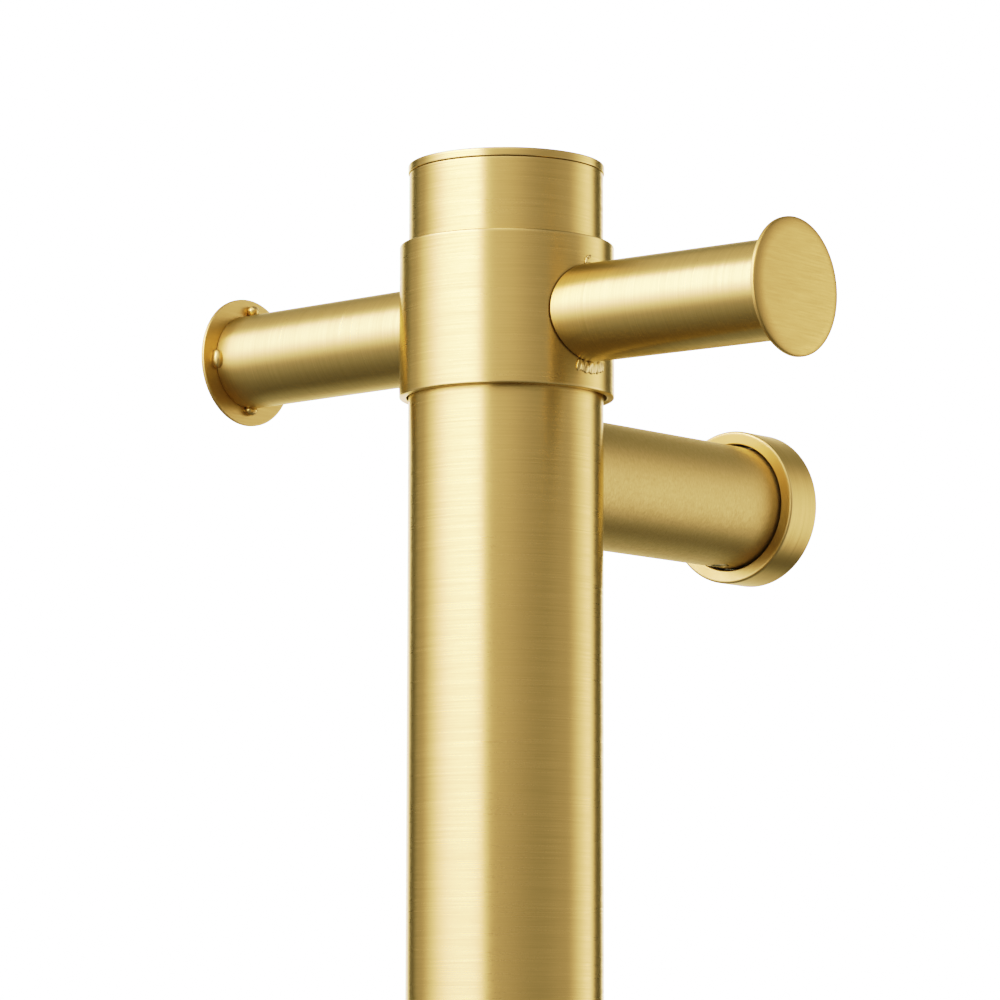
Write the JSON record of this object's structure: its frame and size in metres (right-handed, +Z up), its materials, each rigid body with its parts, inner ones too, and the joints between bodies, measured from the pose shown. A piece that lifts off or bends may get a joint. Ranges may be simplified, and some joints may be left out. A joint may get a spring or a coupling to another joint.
{
  "type": "towel warmer bar",
  "caption": "Vertical single-bar heated towel rail on two wall arms, with a slip-on collar that carries two pegs with disc ends.",
  "frame": {"origin": "centre of the upper wall bracket's back face, on the wall plane, behind the upper arm's axis", "axes": "+Z up along the bar, +Y into the wall, +X to the right for someone facing the wall"},
  "size_m": [0.142, 0.102, 0.9],
  "materials": {
    "brushed_gold": "gold PVD on stainless steel, fine circumferential brush grain, satin",
    "satin_gold": "gold PVD on stainless steel, duller satin",
    "plain_steel": "bare stainless or zinc-plated steel",
    "black_rubber": "matt",
    "clear_nylon": "natural nylon",
    "cable_silicone": "smooth silicone sheath",
    "spacer_plastic": "heat-resistant moulded plastic",
    "terminal_plastic": "moulded polyamide",
    "brown_insulation": "wire insulation",
    "blue_insulation": "wire insulation",
    "green_insulation": "wire insulation",
    "tinned_copper": "tinned"
  },
  "bodies": {
    "rail": {"bar_tube": "brushed_gold", "top_cap": "brushed_gold", "bottom_cap": "brushed_gold", "top_cap_seal": "black_rubber", "bottom_cap_seal": "black_rubber", "upper_arm": "satin_gold", "lower_arm": "satin_gold", "upper_arm_grub_screw": "plain_steel", "lower_arm_grub_screw": "plain_steel", "upper_wall_bracket": "plain_steel", "lower_wall_bracket": "plain_steel", "heating_cable": "cable_silicone", "element_spacer_1": "spacer_plastic", "element_spacer_2": "spacer_plastic", "element_spacer_3": "spacer_plastic", "splice_sleeve_live": "terminal_plastic", "splice_sleeve_neutral": "terminal_plastic", "thermal_cutout": "plain_steel", "live_lead": "brown_insulation", "neutral_lead": "blue_insulation", "earth_lead": "green_insulation", "earth_lug": "tinned_copper", "earth_screw": "plain_steel", "terminal_block": "terminal_plastic", "terminal_screw_1": "plain_steel", "terminal_screw_2": "plain_steel", "terminal_screw_3": "plain_steel", "terminal_screw_4": "plain_steel", "terminal_screw_5": "plain_steel", "terminal_screw_6": "plain_steel"},
    "collar_bands": {"collar_band_upper": "clear_nylon", "collar_band_lower": "clear_nylon"},
    "hook": {"hook_collar": "brushed_gold", "collar_grub_screw": "plain_steel", "left_peg": "brushed_gold", "right_peg": "brushed_gold", "left_peg_disc": "brushed_gold", "right_peg_disc": "brushed_gold"},
    "upper_rosette": {"upper_rosette": "brushed_gold", "upper_rosette_ring": "black_rubber"},
    "lower_rosette": {"lower_rosette": "brushed_gold", "lower_rosette_ring": "black_rubber"}
  },
  "joints": [
    {"name": "collar_slide", "type": "slide", "parent": "rail", "child": "collar_bands", "axis": [0, 0, 1], "range_m": [-0.001, 0.046]},
    {"name": "collar_swivel", "type": "hinge", "parent": "collar_bands", "child": "hook", "pos_m": [0, -0.081, 0.0292], "axis": [0, 0, 1], "continuous": true},
    {"name": "upper_rosette_slide", "type": "slide", "parent": "rail", "child": "upper_rosette", "axis": [0, -1, 0], "range_m": [0, 0.04]},
    {"name": "lower_rosette_slide", "type": "slide", "parent": "rail", "child": "lower_rosette", "axis": [0, -1, 0], "range_m": [0, 0.04]}
  ]
}
